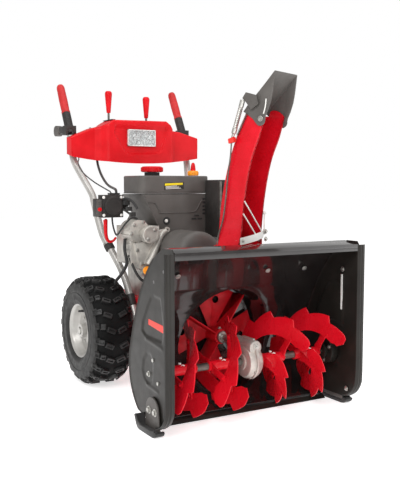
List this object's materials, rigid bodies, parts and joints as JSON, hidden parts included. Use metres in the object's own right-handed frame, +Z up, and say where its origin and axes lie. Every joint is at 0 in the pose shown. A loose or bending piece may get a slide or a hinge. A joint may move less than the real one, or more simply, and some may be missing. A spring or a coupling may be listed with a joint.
{
  "type": "two-stage snow blower",
  "caption": "Walk-behind two-stage snow blower with toothed auger, impeller, turning chute with tilting deflector, lugged wheels, engine, dash levers and grips.",
  "frame": {"origin": "middle of the footprint, on the ground under the skid soles and tyres", "axes": "-Y is forward, where the intake opens; +Y is towards the operator; +Z is up; +X is the side that carries the muffler, the operator's left when looking forward"},
  "size_m": [0.7686, 1.2538, 1.1804],
  "materials": {
    "red_paint": "gloss red powder coat",
    "black_paint": "satin black powder coat",
    "silver_paint": "satin silver paint",
    "zinc": "zinc plated steel",
    "gray_plastic": "textured dark gray polymer",
    "red_plastic": "moulded red polymer, soft gloss",
    "black_plastic": "black polymer",
    "cast_aluminium": "as-cast aluminium",
    "dark_metal": "heat resistant black paint",
    "tyre": "black tyre rubber with deep chevron lugs",
    "rubber": "black rubber",
    "orange_plastic": "orange polymer",
    "lamp": "clear lens over a bright reflector"
  },
  "bodies": {
    "machine": {"chassis_box": "red_paint", "auger_housing": "black_paint", "side_plate_left": "black_paint", "side_plate_right": "black_paint", "scraper_bar": "black_paint", "skid_left": "black_paint", "skid_right": "black_paint", "impeller_drum": "black_paint", "auger_bearing_left": "black_paint", "auger_bearing_right": "black_paint", "handlebar_left": "silver_paint", "handlebar_right": "silver_paint", "grip_sleeve_left": "gray_plastic", "grip_sleeve_right": "gray_plastic", "lever_bracket_left": "gray_plastic", "lever_bracket_right": "gray_plastic", "fuel_tank": "gray_plastic", "engine_shroud": "gray_plastic", "belt_cover": "gray_plastic", "dash_panel": "red_plastic", "grip_left": "red_plastic", "grip_right": "red_plastic", "switch_box": "black_plastic", "gearbox_housing": "cast_aluminium", "engine_block": "cast_aluminium", "starter_motor": "cast_aluminium", "muffler": "dark_metal", "drive_belt": "rubber", "starter_lead": "rubber", "control_cable": "rubber", "headlight": "lamp"},
    "auger": {"auger_shaft": "zinc", "auger_flight_left_inner": "red_paint", "auger_flight_left_outer": "red_paint", "auger_flight_right_inner": "red_paint", "auger_flight_right_outer": "red_paint", "worm_wheel": "zinc"},
    "impeller": {"impeller": "red_paint", "impeller_shaft": "zinc", "impeller_pulley": "zinc"},
    "crank": {"crankshaft": "zinc", "engine_pulley": "zinc"},
    "wheels": {"wheel_axle": "zinc", "tyre_left": "tyre", "tyre_right": "tyre", "rim_left": "silver_paint", "rim_right": "silver_paint"},
    "chute": {"chute": "red_paint", "chute_guard": "zinc", "cable_adjuster": "black_plastic"},
    "deflector": {"deflector": "gray_plastic"},
    "speed_lever": {"speed_lever": "red_plastic"},
    "deflector_lever": {"deflector_lever": "red_plastic"},
    "clutch_lever_left": {"clutch_lever_left": "gray_plastic"},
    "clutch_lever_right": {"clutch_lever_right": "gray_plastic"},
    "fuel_cap": {"fuel_cap": "red_plastic"},
    "dipstick": {"dipstick": "orange_plastic"},
    "start_button": {"start_button": "red_plastic"},
    "recoil_handle": {"recoil_handle": "red_plastic"},
    "choke_knob": {"choke_knob": "orange_plastic"}
  },
  "joints": [
    {"name": "impeller_spin", "type": "hinge", "parent": "machine", "child": "impeller", "pos_m": [0, -0.27614, 0.23], "axis": [0, 1, 0], "continuous": true},
    {"name": "auger_spin", "type": "hinge", "parent": "machine", "child": "auger", "pos_m": [0, -0.47614, 0.18], "axis": [1, 0, 0], "continuous": true},
    {"name": "crank_spin", "type": "hinge", "parent": "machine", "child": "crank", "pos_m": [0, -0.18514, 0.438], "axis": [0, 1, 0], "continuous": true},
    {"name": "wheel_spin", "type": "hinge", "parent": "machine", "child": "wheels", "pos_m": [0, 0.16386, 0.205], "axis": [1, 0, 0], "continuous": true},
    {"name": "chute_turn", "type": "hinge", "parent": "machine", "child": "chute", "pos_m": [0.058, -0.32114, 0.535], "axis": [0, 0, 1], "range_deg": [-115, 75]},
    {"name": "deflector_hinge", "type": "hinge", "parent": "chute", "child": "deflector", "pos_m": [0.1052, -0.45082, 0.97], "axis": [0.9397, 0.342, 0], "range_deg": [0, 50]},
    {"name": "deflector_lever_tilt", "type": "hinge", "parent": "machine", "child": "deflector_lever", "pos_m": [0.058, 0.40386, 0.934], "axis": [1, 0, 0], "range_deg": [-2, 22]},
    {"name": "speed_lever_tilt", "type": "hinge", "parent": "machine", "child": "speed_lever", "pos_m": [-0.114, 0.40386, 0.948], "axis": [1, 0, 0], "range_deg": [-20, 20]},
    {"name": "clutch_lever_left_squeeze", "type": "hinge", "parent": "machine", "child": "clutch_lever_left", "pos_m": [-0.264, 0.50886, 0.983], "axis": [1, 0, 0], "range_deg": [0, 58], "stiffness_Nm_per_rad": 0.6, "springref_deg": -17.19},
    {"name": "clutch_lever_right_squeeze", "type": "hinge", "parent": "machine", "child": "clutch_lever_right", "pos_m": [0.264, 0.50886, 0.983], "axis": [1, 0, 0], "range_deg": [0, 58], "stiffness_Nm_per_rad": 0.6, "springref_deg": -17.19},
    {"name": "fuel_cap_lift", "type": "slide", "parent": "machine", "child": "fuel_cap", "axis": [0, 0, 1], "range_m": [0, 0.05]},
    {"name": "dipstick_pull", "type": "slide", "parent": "machine", "child": "dipstick", "axis": [-0.2121, -0.9454, 0.2474], "range_m": [0, 0.05]},
    {"name": "start_button_press", "type": "slide", "parent": "machine", "child": "start_button", "axis": [0, 1, 0], "range_m": [0, 0.004], "stiffness_N_per_m": 400, "springref_m": -0.001},
    {"name": "recoil_handle_pull", "type": "slide", "parent": "machine", "child": "recoil_handle", "axis": [-1, 0, 0], "range_m": [0, 0.4], "stiffness_N_per_m": 20, "springref_m": -0.5},
    {"name": "choke_knob_turn", "type": "hinge", "parent": "machine", "child": "choke_knob", "pos_m": [0.084, 0.04386, 0.8], "axis": [0, 0, 1], "range_deg": [0, 90]}
  ],
  "couplings": [
    {"joint": "auger_spin", "follows": "impeller_spin", "ratio": 0.1},
    {"joint": "crank_spin", "follows": "impeller_spin", "ratio": 2},
    {"joint": "deflector_lever_tilt", "follows": "deflector_hinge", "ratio": 0.4}
  ]
}
